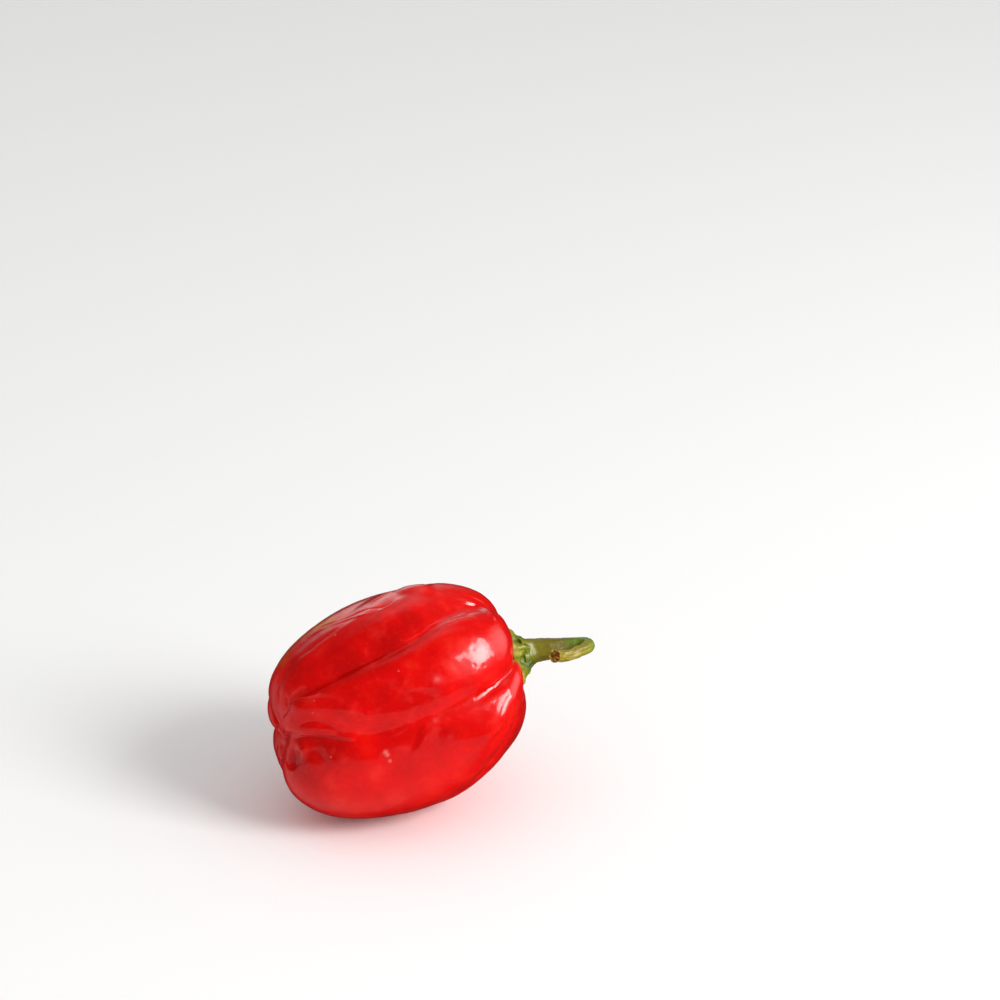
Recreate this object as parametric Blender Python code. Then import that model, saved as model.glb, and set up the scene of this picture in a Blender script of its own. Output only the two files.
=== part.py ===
"""A scotch bonnet pepper, as picked, lying on one side of its pod.

The pod points its stalk end along +X and a little upwards, and rests on a small flat spot whose centre
is the origin, so z = 0 is the surface that it lies on. Three pieces grow from each other: the pod, the
calyx that caps its stalk end, and the stem, which hooks round and ends in its dry cut.
"""

import math

import bmesh
import bpy
from mathutils import Matrix, Vector

MM = 0.001

# The pod's outline over its lobes, from the sunken blossom end to the sunken stalk end: how far along
# the pod's axis, and how far out from it. Points are evenly spaced in share of the way, 0 to 1.
POD_PROFILE_MM = [
    (-28.2, 0.0),
    (-30.0, 6.5),
    (-28.6, 12.5),
    (-24.0, 17.5),
    (-17.0, 21.2),
    (-8.5, 23.6),
    (0.5, 24.7),
    (9.5, 24.3),
    (17.5, 22.0),
    (24.0, 18.0),
    (27.4, 12.5),
    (27.3, 6.5),
    (26.5, 0.0),
]
POD_SEGMENTS = 72
POD_RINGS = 36
POD_TILT = math.radians(9.0)
# How far the middle of the pod rises off its straight axis, at seven even stations from end to end.
POD_BEND_MM = (0.0, 0.0, 0.0, 0.0, 0.4, 1.4, 1.8)

# The six lobes, in order round the pod. Each starts at a groove, given by the meridian of the sphere
# that it is shaped from, by its real angle and by its depth, both at the seven stations. Angles start at
# the top of the pod and turn towards -Y. peak is where the lobe's crest is, as a share of the way
# across to the next groove, rise and fall how blunt its two flanks are (lower is blunter), and swell_mm
# how far its crest stands out from the profile at the seven stations.
LOBES = {
    "middle": {
        "meridian": 30,
        "angle": (22, 27, 31, 29.5, 16, 6, 4),
        "depth_mm": (1.0, 1.6, 2.5, 2.8, 2.3, 1.2, 0.8),
        "peak": 0.36,
        "rise": 0.48,
        "fall": 0.65,
        "swell_mm": (0.0, 0.0, 0.2, 0.3, 0.2, -1.2, -1.2),
    },
    "lower": {
        "meridian": 75,
        "angle": (48, 60, 71, 73.5, 70.5, 62, 58),
        "depth_mm": (2.0, 2.8, 2.8, 1.9, 2.3, 1.8, 0.8),
        "peak": 0.55,
        "rise": 0.6,
        "fall": 0.6,
        "swell_mm": (0.8, 2.4, 2.1, 1.0, 0.4, -1.8, -1.2),
    },
    "under": {
        "meridian": 150,
        "angle": (190, 186, 168, 146, 111, 84, 78),
        "depth_mm": (1.6, 2.2, 1.2, 0.8, 1.8, 1.6, 0.8),
        "peak": 0.5,
        "rise": 0.6,
        "fall": 0.6,
        "swell_mm": (0.0, 0.0, 0.0, 0.2, -2.1, -1.2, -0.6),
    },
    "rear": {
        "meridian": 220,
        "angle": (268, 264, 245, 226, 216, 212, 210),
        "depth_mm": (1.6, 2.2, 2.4, 2.0, 2.0, 1.6, 0.8),
        "peak": 0.5,
        "rise": 0.6,
        "fall": 0.6,
        "swell_mm": (-0.8, -0.6, 0.0, 0.0, 0.0, 0.0, 0.0),
    },
    "back": {
        "meridian": 285,
        "angle": (305, 303, 296, 288, 280, 275, 272),
        "depth_mm": (1.0, 1.4, 1.8, 2.2, 2.0, 1.4, 0.8),
        "peak": 0.5,
        "rise": 0.6,
        "fall": 0.6,
        "swell_mm": (-1.6, -0.6, 0.0, 0.2, 0.0, 0.0, 0.0),
    },
    "top": {
        "meridian": 340,
        "angle": (345, 352, 362, 351, 322, 316, 315),
        "depth_mm": (0.8, 0.8, 1.2, 1.2, 1.4, 1.2, 0.8),
        "peak": 0.4,
        "rise": 0.7,
        "fall": 1.3,
        "swell_mm": (-1.6, -0.6, 0.0, 0.5, 0.3, -0.3, 0.0),
    },
}
POLE_FADE_MM = 6.0
# Soft hollows in the skin: where, as a share of the way to the stalk and an angle, how far they reach and
# how deep they go.
DENTS = {
    "dimple on the lower lobe": {"share": 0.20, "angle": 82.0, "reach_mm": 5.0, "depth_mm": 1.8},
    "hollow beside the groove": {"share": 0.37, "angle": 86.0, "reach_mm": 10.0, "depth_mm": 0.9},
    "nip on the blossom end": {"share": 0.085, "angle": 30.0, "reach_mm": 3.5, "depth_mm": 0.8},
}

# How much of the pod's lowest bulge is flattened where it rests, and the gap between pieces that touch.
REST_DEPTH = 0.5 * MM
GAP = 0.3 * MM
# A short step along the pod, as a share of its length, for finding which way its skin runs.
NUDGE = 0.002

# The calyx follows the pod from its middle out to a margin with five blunt teeth, as a share of the
# pod's whole length from end to end. Its height over the pod is given from its middle out to its margin,
# and a flat crown in its middle, out to a share of that way, carries the stem and eases off beyond it.
CALYX_SEGMENTS = 50
CALYX_RINGS = 16
CALYX_TEETH = 5
CALYX_SPAN = 0.088
CALYX_TOOTH_SHARE = 0.17
CALYX_TOOTH_TURN = math.radians(30.0)
CALYX_HEIGHT_MM = (4.6, 4.6, 4.4, 3.5, 2.4, 1.6, 1.0)
CALYX_CROWN_X = 31.4 * MM
CALYX_CROWN_SHARE = 0.4
CALYX_CROWN_EASE = 0.4

# The middle of the stem, from the calyx to the cut, along the row's own X, Y and Z.
STEM_PATH_MM = [
    (0.0, 0.0, 0.0),
    (1.9, -0.3, 0.3),
    (4.6, -1.2, 0.6),
    (8.9, -2.1, 1.0),
    (11.7, -3.0, 1.3),
    (12.9, -4.6, 1.6),
    (11.7, -6.5, 1.8),
    (9.2, -8.0, 2.0),
    (6.3, -9.2, 2.1),
    (4.0, -9.7, 2.5),
    (1.9, -11.0, 3.4),
]
STEM_RADII_MM = [2.75, 2.75, 2.55, 1.85, 1.5, 1.4, 1.35, 1.35, 1.35, 1.35, 1.45]
STEM_SAMPLES = 4
STEM_BEVEL = 6


def smooth_curve(values, share, mirror_ends=False):
    """Catmull-Rom through evenly spaced values. With mirror_ends a profile meets its axis squarely."""
    spans = len(values) - 1
    at = min(max(share, 0.0), 1.0) * spans
    i = min(int(at), spans - 1)
    f = at - i
    p1, p2 = values[i], values[i + 1]
    if mirror_ends:
        p0 = values[i - 1] if i > 0 else Vector((p2.x, -p2.y))
        p3 = values[i + 2] if i + 2 <= spans else Vector((p1.x, -p1.y))
    else:
        p0 = values[max(i - 1, 0)]
        p3 = values[min(i + 2, spans)]
    return 0.5 * (
        2 * p1 + (p2 - p0) * f + (2 * p0 - 5 * p1 + 4 * p2 - p3) * f * f + (3 * p1 - p0 - 3 * p2 + p3) * f**3
    )


def smooth_step(x):
    """From 0 at 0 to 1 at 1, level at both ends."""
    x = min(max(x, 0.0), 1.0)
    return x * x * (3 - 2 * x)


PROFILE = [Vector(p) * MM for p in POD_PROFILE_MM]
STEM_PATH = [Vector(p) * MM for p in STEM_PATH_MM]
NAMES = list(LOBES)


def lobe_at(longitude):
    """The lobes before, at and after this meridian, and the share of the way across the middle one."""
    for i, name in enumerate(NAMES):
        lobe, following = LOBES[name], LOBES[NAMES[(i + 1) % len(NAMES)]]
        width = (following["meridian"] - lobe["meridian"]) % 360
        across = (longitude - lobe["meridian"]) % 360
        if across < width:
            return LOBES[NAMES[i - 1]], lobe, following, across / width


def meridian_at(share, angle):
    """The meridian whose real angle at this share is the one given, both in degrees."""
    for i, name in enumerate(NAMES):
        lobe, following = LOBES[name], LOBES[NAMES[(i + 1) % len(NAMES)]]
        first = smooth_curve(lobe["angle"], share)
        width = (smooth_curve(following["angle"], share) - first) % 360
        beyond = (angle - first) % 360
        if beyond <= width:
            return lobe["meridian"] + beyond / width * ((following["meridian"] - lobe["meridian"]) % 360)


def dent_depth(skin):
    """How far the dents sink the skin at a point of the plain profile, in mm."""
    total = 0.0
    for dent in DENTS.values():
        middle = smooth_curve(PROFILE, dent["share"], mirror_ends=True)
        angle = math.radians(dent["angle"])
        centre = Vector((middle.x, -middle.y * math.sin(angle), middle.y * math.cos(angle)))
        far = (skin - centre).length / (dent["reach_mm"] * MM)
        if far < 1:
            total += dent["depth_mm"] * (1 - far * far) ** 2
    return total


def pod_point(share, longitude, carved=1.0):
    """The pod's skin, its own axis on X, at a share of the way to the stalk and a meridian in degrees.

    With carved at 0 it runs over the lobes' crests, without the grooves and dents.
    """
    earlier, lobe, following, across = lobe_at(longitude % 360)
    first = smooth_curve(lobe["angle"], share)
    width = (smooth_curve(following["angle"], share) - first) % 360
    angle = math.radians(first + across * width)

    peak = lobe["peak"]
    if across < peak:
        nearness = across / peak
        height = math.sin(math.pi / 2 * nearness) ** lobe["rise"]
        neighbour = earlier
    else:
        nearness = (1 - across) / (1 - peak)
        height = math.sin(math.pi / 2 * nearness) ** lobe["fall"]
        neighbour = following
    own = smooth_curve(lobe["depth_mm"], share)
    other = smooth_curve(following["depth_mm"], share)
    depth = own + (other - own) * smooth_step(across)
    crest = smooth_curve(lobe["swell_mm"], share)
    valley = (crest + smooth_curve(neighbour["swell_mm"], share)) / 2
    swell = valley + (crest - valley) * smooth_step(nearness)

    here = smooth_curve(PROFILE, share, mirror_ends=True)
    along = smooth_curve(PROFILE, share + NUDGE, True) - smooth_curve(PROFILE, share - NUDGE, True)
    outward = Vector((-along.y, along.x)).normalized()
    fade = smooth_step(here.y / (POLE_FADE_MM * MM))
    turned = Vector((0.0, -math.sin(angle), math.cos(angle)))
    skin = Vector((here.x, 0, 0)) + turned * here.y
    push = (swell - carved * depth * (1 - height)) * fade - carved * dent_depth(skin)
    skin += (Vector((outward.x, 0, 0)) + turned * outward.y) * push * MM
    skin.z += smooth_curve(POD_BEND_MM, share) * MM
    return skin


def reshaped_sphere(name, segments, rings, place):
    """A sphere primitive whose every point is moved to place(share from pole to pole, longitude)."""
    mesh = bpy.data.meshes.new(name)
    bm = bmesh.new()
    bmesh.ops.create_uvsphere(bm, u_segments=segments, v_segments=rings, radius=1.0)
    for vertex in bm.verts:
        share = 0.5 + math.asin(max(-1.0, min(1.0, vertex.co.z))) / math.pi
        longitude = round(math.degrees(math.atan2(vertex.co.y, vertex.co.x)), 4)
        vertex.co = place(share, longitude)
    bm.to_mesh(mesh)
    bm.free()
    mesh.shade_smooth()
    return bpy.data.objects.new(name, mesh)


def over_crests(share, angle):
    """A point on the surface that runs over the lobes' crests, at a share of the way and a real angle."""
    return pod_point(share, meridian_at(share, angle), 0.0)


def outward_at(share, angle):
    """Straight out of that surface. The stalk end's middle takes the direction of the pod's axis."""
    if share > 0.999:
        return Vector((1, 0, 0))
    along = over_crests(share + NUDGE, angle) - over_crests(share - NUDGE, angle)
    across = over_crests(share, angle + 0.5) - over_crests(share, angle - 0.5)
    return across.cross(along).normalized()


def calyx_point(share, longitude):
    """The calyx, from the middle of its underside (share 0) over its margin (share 0.5) to its top."""
    teeth = math.cos(CALYX_TEETH * (math.radians(longitude) + CALYX_TOOTH_TURN))
    span = CALYX_SPAN * (1 + CALYX_TOOTH_SHARE * (0.6 * teeth + 0.4 * teeth * abs(teeth)))
    out = math.sin(math.pi * share)
    where = 1 - span * out
    skin = over_crests(where, longitude)
    normal = Vector((1, 0, 0)).lerp(outward_at(where, longitude), smooth_step(out * 1.6)).normalized()
    if share <= 0.5:
        return skin + normal * GAP
    point = skin + normal * (GAP + smooth_curve(CALYX_HEIGHT_MM, out) * MM)
    point.x += (CALYX_CROWN_X - point.x) * (1 - smooth_step((out - CALYX_CROWN_SHARE) / CALYX_CROWN_EASE))
    return point


def make_stem(base):
    """The stem as one curve with a round section, from its base on the calyx to its cut end."""
    curve = bpy.data.curves.new("stem", "CURVE")
    curve.dimensions = "3D"
    curve.bevel_depth = 1.0
    curve.bevel_resolution = STEM_BEVEL
    curve.use_fill_caps = True
    count = (len(STEM_PATH) - 1) * STEM_SAMPLES + 1
    spline = curve.splines.new("POLY")
    spline.points.add(count - 1)
    for i, point in enumerate(spline.points):
        share = i / (count - 1)
        place = base + smooth_curve(STEM_PATH, share)
        point.co = (*place, 1.0)
        point.radius = smooth_curve(STEM_RADII_MM, share) * MM
    return bpy.data.objects.new("stem", curve)


def finish(piece, colour, roughness):
    """Gives a piece a plain material of its own."""
    material = bpy.data.materials.new(piece.name)
    material.use_nodes = True
    shader = material.node_tree.nodes["Principled BSDF"]
    shader.inputs["Base Color"].default_value = (*colour, 1.0)
    shader.inputs["Roughness"].default_value = roughness
    shader.inputs["Metallic"].default_value = 0.0
    piece.data.materials.append(material)


def main():
    """Makes the three pieces, leans the pod on its side and sets its lowest bulge on z = 0."""
    for old in list(bpy.data.objects):
        bpy.data.objects.remove(old)
    parts = bpy.data.collections.new("scotch_bonnet_pepper")
    bpy.context.scene.collection.children.link(parts)

    pod = reshaped_sphere("pod", POD_SEGMENTS, POD_RINGS, pod_point)
    calyx = reshaped_sphere("calyx", CALYX_SEGMENTS, CALYX_RINGS, calyx_point)

    lean = Matrix.Rotation(-POD_TILT, 4, "Y")
    pod.data.transform(lean)
    lowest = min(v.co.z for v in pod.data.vertices) + REST_DEPTH
    spot = [v.co for v in pod.data.vertices if v.co.z <= lowest]
    middle_x = (min(p.x for p in spot) + max(p.x for p in spot)) / 2
    middle_y = (min(p.y for p in spot) + max(p.y for p in spot)) / 2
    settle = Matrix.Translation((-middle_x, -middle_y, -lowest))
    pod.data.transform(settle)
    for vertex in pod.data.vertices:
        vertex.co.z = max(vertex.co.z, 0.0)
    calyx.data.transform(settle @ lean)

    crown = pod_point(1.0, 0.0)
    top = Vector((CALYX_CROWN_X + GAP, crown.y, crown.z))
    stem = make_stem(settle @ lean @ top)

    finish(pod, (0.70, 0.004, 0.002), 0.2)
    finish(calyx, (0.20, 0.24, 0.02), 0.45)
    finish(stem, (0.17, 0.24, 0.03), 0.45)
    for piece in (pod, calyx, stem):
        parts.objects.link(piece)


main()
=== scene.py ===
# %% [markdown]
# # A scotch bonnet pepper, lying on its side
#
# This lesson dresses a finished model of a ripe red scotch bonnet: a squat hot pepper with deep grooves,
# a green cap called the calyx and a short hooked stem. The imported model already has the right size and
# form, but it is faceted and plain. Here the pod and the calyx each get a fine copy, the stem is bent anew
# from a curve, small details are carved in, and each piece gets the finish of waxy skin, of a
# fleshy leaf or of a green stalk.

# %% Load the frame and keep its box
import math
import random

import bpy
import numpy as np
from mathutils import Matrix, Vector, noise
from mathutils.bvhtree import BVHTree


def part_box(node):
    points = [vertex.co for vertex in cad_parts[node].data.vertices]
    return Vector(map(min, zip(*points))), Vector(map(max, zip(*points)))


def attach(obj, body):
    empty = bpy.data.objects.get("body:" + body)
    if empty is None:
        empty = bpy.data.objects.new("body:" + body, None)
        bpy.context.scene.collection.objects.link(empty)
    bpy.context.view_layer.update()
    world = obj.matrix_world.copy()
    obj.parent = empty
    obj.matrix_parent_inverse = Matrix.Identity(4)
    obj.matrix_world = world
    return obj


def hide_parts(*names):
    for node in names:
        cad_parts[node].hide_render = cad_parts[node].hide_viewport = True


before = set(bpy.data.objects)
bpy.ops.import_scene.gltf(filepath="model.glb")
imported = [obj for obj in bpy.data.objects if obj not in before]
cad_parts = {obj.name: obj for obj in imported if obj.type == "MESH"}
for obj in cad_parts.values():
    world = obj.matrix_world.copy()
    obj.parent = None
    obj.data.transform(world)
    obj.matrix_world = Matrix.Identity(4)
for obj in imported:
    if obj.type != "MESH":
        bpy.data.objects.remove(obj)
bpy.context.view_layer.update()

MM = 0.001

# %% [markdown]
# ## The camera
#
# A detail that was read off the photograph can only go back on the pepper if the camera stands where the
# photographer's did. The picture is 1000 pixels wide. A long lens from 0.7 m away matches the slight
# perspective, and the numbers below place the middle of the pod's box at its place in the picture.

# %% Stand the camera where the photograph was taken
PICTURE = 1000
SENSOR_MM = 36.0
PIXELS_PER_METRE = 4400.0
CAMERA_AZIMUTH = math.radians(-20.0)
CAMERA_ELEVATION = math.radians(26.0)
CAMERA_DISTANCE = 0.7
POD_MIDDLE_PIXEL = (393.5, 698.0)

pod_low, pod_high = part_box("pod")
POD_MIDDLE = (pod_low + pod_high) / 2
back = Vector((
    math.sin(CAMERA_AZIMUTH) * math.cos(CAMERA_ELEVATION),
    -math.cos(CAMERA_AZIMUTH) * math.cos(CAMERA_ELEVATION),
    math.sin(CAMERA_ELEVATION),
))
right = Vector((math.cos(CAMERA_AZIMUTH), math.sin(CAMERA_AZIMUTH), 0))
up = back.cross(right)
EYE = POD_MIDDLE + back * CAMERA_DISTANCE
aim = POD_MIDDLE - right * (POD_MIDDLE_PIXEL[0] - PICTURE / 2) / PIXELS_PER_METRE
aim += up * (POD_MIDDLE_PIXEL[1] - PICTURE / 2) / PIXELS_PER_METRE

bpy.ops.object.camera_add(location=EYE)
camera = bpy.context.object
camera.name = "photograph_camera"
camera.data.lens = PIXELS_PER_METRE * CAMERA_DISTANCE * SENSOR_MM / PICTURE
camera.data.sensor_width = SENSOR_MM
camera.data.clip_start = 0.01
camera.rotation_mode = "QUATERNION"
camera.rotation_quaternion = (aim - EYE).to_track_quat("-Z", "Y")
bpy.context.scene.camera = camera
bpy.context.view_layer.update()
FOCAL_PIXELS = camera.data.lens / SENSOR_MM * PICTURE
print(f"lens {camera.data.lens:.1f} mm, eye at {tuple(round(v, 3) for v in EYE)} m")

# %% [markdown]
# ## Fine copies
#
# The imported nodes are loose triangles. A copy whose doubled points are merged, and whose triangles are
# paired back into four-sided faces, can take a Subdivision modifier. That melts the facets into one smooth
# skin and leaves enough points to carve.

# %% Make a fine copy of a CAD node
MERGE = 1e-6
MELT_LEVELS = 2


def only(piece):
    """Selects one object and nothing else, so that an operator acts on it alone."""
    bpy.ops.object.select_all(action="DESELECT")
    piece.select_set(True)
    bpy.context.view_layer.objects.active = piece


def melt(piece):
    """Adds a Subdivision modifier, which melts the facets into one smooth skin."""
    modifier = piece.modifiers.new("melt", "SUBSURF")
    modifier.levels = modifier.render_levels = MELT_LEVELS


def finish_modifiers(piece):
    """Applies a piece's modifiers and shades it smooth."""
    only(piece)
    for modifier in list(piece.modifiers):
        bpy.ops.object.modifier_apply(modifier=modifier.name)
    bpy.ops.object.shade_smooth()


def fine_copy(node, name):
    """A copy of a CAD node with its points merged, its triangles paired and its facets melted."""
    piece = bpy.data.objects.new(name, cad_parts[node].data.copy())
    bpy.context.scene.collection.objects.link(piece)
    piece.data.materials.clear()
    only(piece)
    bpy.ops.mesh.customdata_custom_splitnormals_clear()
    bpy.ops.object.mode_set(mode="EDIT")
    bpy.ops.mesh.select_all(action="SELECT")
    bpy.ops.mesh.remove_doubles(threshold=MERGE)
    bpy.ops.mesh.tris_convert_to_quads(face_threshold=math.pi, shape_threshold=math.pi)
    bpy.ops.object.mode_set(mode="OBJECT")
    quads = sum(len(f.vertices) == 4 for f in piece.data.polygons)
    print(f"{name}: {quads} quads of {len(piece.data.polygons)} faces")
    melt(piece)
    finish_modifiers(piece)
    return piece


pod = fine_copy("pod", "pod_skin")

# %% [markdown]
# ## More points where they show
#
# The side that faces the camera carries the finest folds. Faces are chosen by the way they look, and the
# Subdivide operator cuts each in four. The hidden sides stay as they are, so the mesh doesn't grow heavy.

# %% Give the side that carries the finest details more points
NEAR_FACING = 0.15
only(pod)
bpy.ops.object.mode_set(mode="EDIT")
bpy.ops.mesh.select_mode(type="FACE")
bpy.ops.mesh.select_all(action="DESELECT")
bpy.ops.object.mode_set(mode="OBJECT")
for face in pod.data.polygons:
    face.select = face.normal.dot(back) > NEAR_FACING
bpy.ops.object.mode_set(mode="EDIT")
bpy.ops.mesh.subdivide(number_cuts=1)
bpy.ops.mesh.select_mode(type="VERT")
bpy.ops.object.mode_set(mode="OBJECT")
bpy.ops.object.shade_smooth()
print(f"pod_skin: {len(pod.data.polygons)} faces")

# %% [markdown]
# ## Two ways to point at the skin
#
# Small details need a place on the skin. Those on the side that the photograph shows are given by their
# pixel: a ray from the camera through that pixel lands on the pod. Those on the hidden sides are given in
# the pod's own terms, by a ray out of its middle: how far along the pod's axis and out from it the ray
# passes, in millimetres, and an angle round it, 0 being its top.

# %% Find points on the pod
# The pod's own axis leans up from the table by its tilt, and its middle sits this far from the origin.
POD_TILT = math.radians(9.0)
POD_PLACE = Vector((3.197, 0.221, 24.545)) * MM
POD_AXES = Matrix.Translation(POD_PLACE) @ Matrix.Rotation(-POD_TILT, 4, "Y")


def tree_of(piece):
    """A search tree of the piece's faces, which finds where a ray lands on it."""
    graph = bpy.context.evaluated_depsgraph_get()
    return BVHTree.FromObject(piece, graph)


def by_pixel(tree, x, y):
    """The point of the skin that the photograph shows at a pixel."""
    picture_point = Vector((x - PICTURE / 2, -(y - PICTURE / 2), -FOCAL_PIXELS))
    ray = camera.rotation_quaternion @ picture_point
    hit = tree.ray_cast(EYE, ray.normalized())[0]
    if hit is None:
        print(f"  pixel {x}, {y} misses the skin, so the nearest point stands in")
        away = (POD_MIDDLE - EYE).length
        hit = tree.find_nearest(EYE + ray.normalized() * away)[0]
    return hit


def by_angle(tree, along_mm, out_mm, angle):
    """The skin's point on a ray from the pod's middle, which passes so far along its axis and out."""
    turn = math.radians(angle)
    ray = Vector((along_mm, -math.sin(turn) * out_mm, math.cos(turn) * out_mm)).normalized()
    return tree.ray_cast(POD_PLACE, POD_AXES.to_3x3() @ ray)[0]


# %% [markdown]
# ## Carving with strokes
#
# A sculptor draws along the clay with a tool. A stroke here is the same: a line over the skin, a depth, and
# how far the tool reaches to each side. Points within reach are pushed along their normal, most at the
# line, fading to nothing at the edge of the reach and at the stroke's two ends. A sharp stroke leaves a
# crease and a round one a soft swelling or hollow. A reach that differs from side to side leaves a fold,
# steep on one flank.

# %% Draw a smooth line through a stroke's points
SAMPLES_PER_SPAN = 8


def smooth_line(points):
    """A smooth line through the points, as an array of close samples."""
    p = np.array([tuple(v) for v in points])
    if len(p) == 1:
        return p
    p = np.vstack([2 * p[0] - p[1], p, 2 * p[-1] - p[-2]])
    out = []
    for a, b, c, d in zip(p, p[1:], p[2:], p[3:]):
        for f in np.arange(SAMPLES_PER_SPAN) / SAMPLES_PER_SPAN:
            straight = 2 * b + (c - a) * f
            bend = (2 * a - 5 * b + 4 * c - d) * f**2
            twist = (3 * b - a - 3 * c + d) * f**3
            out.append((straight + bend + twist) / 2)
    return np.array(out + [p[-2]])


# %% Work out how far a stroke reaches
def fade(x):
    """From 0 at 0 to 1 at 1, level at both ends."""
    x = np.clip(x, 0, 1)
    return x * x * (3 - 2 * x)


def stroke_height(places, normals, line, reach_mm, sharp, taper):
    """For every point, how much of the stroke reaches it, from 0 to 1."""
    left_mm, right_mm = (reach_mm, reach_mm) if np.isscalar(reach_mm) else reach_mm
    widest = max(left_mm, right_mm) * MM
    height = np.zeros(len(places))
    low, high = line.min(0) - widest, line.max(0) + widest
    near = np.where(np.all((places > low) & (places < high), axis=1))[0]
    if not len(near):
        return height
    gaps = places[near][:, None, :] - line[None, :, :]
    away = np.linalg.norm(gaps, axis=2)
    nearest = away.argmin(1)
    distance = away[np.arange(len(near)), nearest]
    along = nearest / max(len(line) - 1, 1)
    reach = np.full(len(near), widest)
    if len(line) > 1:
        ahead = np.gradient(line, axis=0)[nearest]
        gap = gaps[np.arange(len(near)), nearest]
        length = np.linalg.norm(ahead, axis=1, keepdims=True) + 1e-12
        ahead = ahead / length
        onward = (gap * ahead).sum(1, keepdims=True)
        along = np.clip(along + onward[:, 0] / length[:, 0] / (len(line) - 1), 0, 1)
        inside = (nearest > 0) & (nearest < len(line) - 1)
        straight = gap - ahead * onward
        distance = np.where(inside, np.linalg.norm(straight, axis=1), distance)
        side = (np.cross(normals[near], ahead) * gap).sum(1)
        reach = np.where(side > 0, left_mm, right_mm) * MM
    share = np.clip(1 - distance / reach, 0, 1)
    shape = share**2 if sharp else fade(share)
    ends = 1.0
    if len(line) > 1 and taper > 0:
        ends = fade(along / taper) * fade((1 - along) / taper)
    height[near] = shape * ends
    return height


# %% Carve a piece along strokes
def arrays_of(piece):
    """The places and the normals of a piece's points, as two arrays."""
    count = len(piece.data.vertices)
    places, normals = np.zeros(count * 3), np.zeros(count * 3)
    piece.data.vertices.foreach_get("co", places)
    piece.data.vertices.foreach_get("normal", normals)
    return places.reshape(-1, 3), normals.reshape(-1, 3)


def move_points(piece, places):
    piece.data.vertices.foreach_set("co", places.ravel())
    piece.data.update()


def carve(piece, strokes, find):
    """Pushes a piece's points along its strokes: (points, depth in mm, reach in mm, sharp, taper)."""
    tree = tree_of(piece)
    places, normals = arrays_of(piece)
    push = np.zeros(len(places))
    for points, depth_mm, reach_mm, sharp, taper in strokes:
        line = smooth_line([find(tree, *point) for point in points])
        push -= depth_mm * MM * stroke_height(places, normals, line, reach_mm, sharp, taper)
    move_points(piece, places + normals * push[:, None])
    deepest, highest = push.min() / MM, push.max() / MM
    print(f"{piece.name}: {len(strokes)} strokes, deepest {deepest:.2f} mm, highest {highest:.2f} mm")


# %% [markdown]
# ## The pod's grooves
#
# Six lobes meet in six grooves. In the real fruit the skin folds in at the bottom of each, so the groove
# ends in a fine crease. Three grooves lie out of the photograph's sight. Their angles repeat those that the
# grooves were modelled with, at five stations from the blossom end to the stalk.

# %% Crease the bottom of the hidden grooves
# Each station is how far along the pod's axis it lies, and how far out the skin is there.
STATIONS_MM = ((-28.6, 12.5), (-17.0, 21.2), (0.5, 24.7), (17.5, 22.0), (27.4, 12.5))
HIDDEN_GROOVES = {
    "under": (186, 168, 146, 111, 84),
    "rear": (264, 245, 226, 216, 212),
    "back": (303, 296, 288, 280, 275),
}
CREASE_DEPTH_MM = 0.12
CREASE_REACH_MM = 1.4
CREASE_TAPER = 0.3
creases = []
for angles in HIDDEN_GROOVES.values():
    line = [(*station, angle) for station, angle in zip(STATIONS_MM, angles)]
    creases.append((line, CREASE_DEPTH_MM, CREASE_REACH_MM, True, CREASE_TAPER))
carve(pod, creases, by_angle)

# %% [markdown]
# ## What the photograph shows on the near side
#
# These strokes are drawn over the photograph, each by a few of its pixels. A positive depth cuts in, and a
# negative one raises. Each row gives the pixels, the depth, the reach (or the reach above and below a line
# drawn from left to right), whether the line is a sharp crease, and the share of its length over which its
# ends fade. The skin is glossy, so a fold of a few tenths of a millimetre already bends a reflection.

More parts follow.
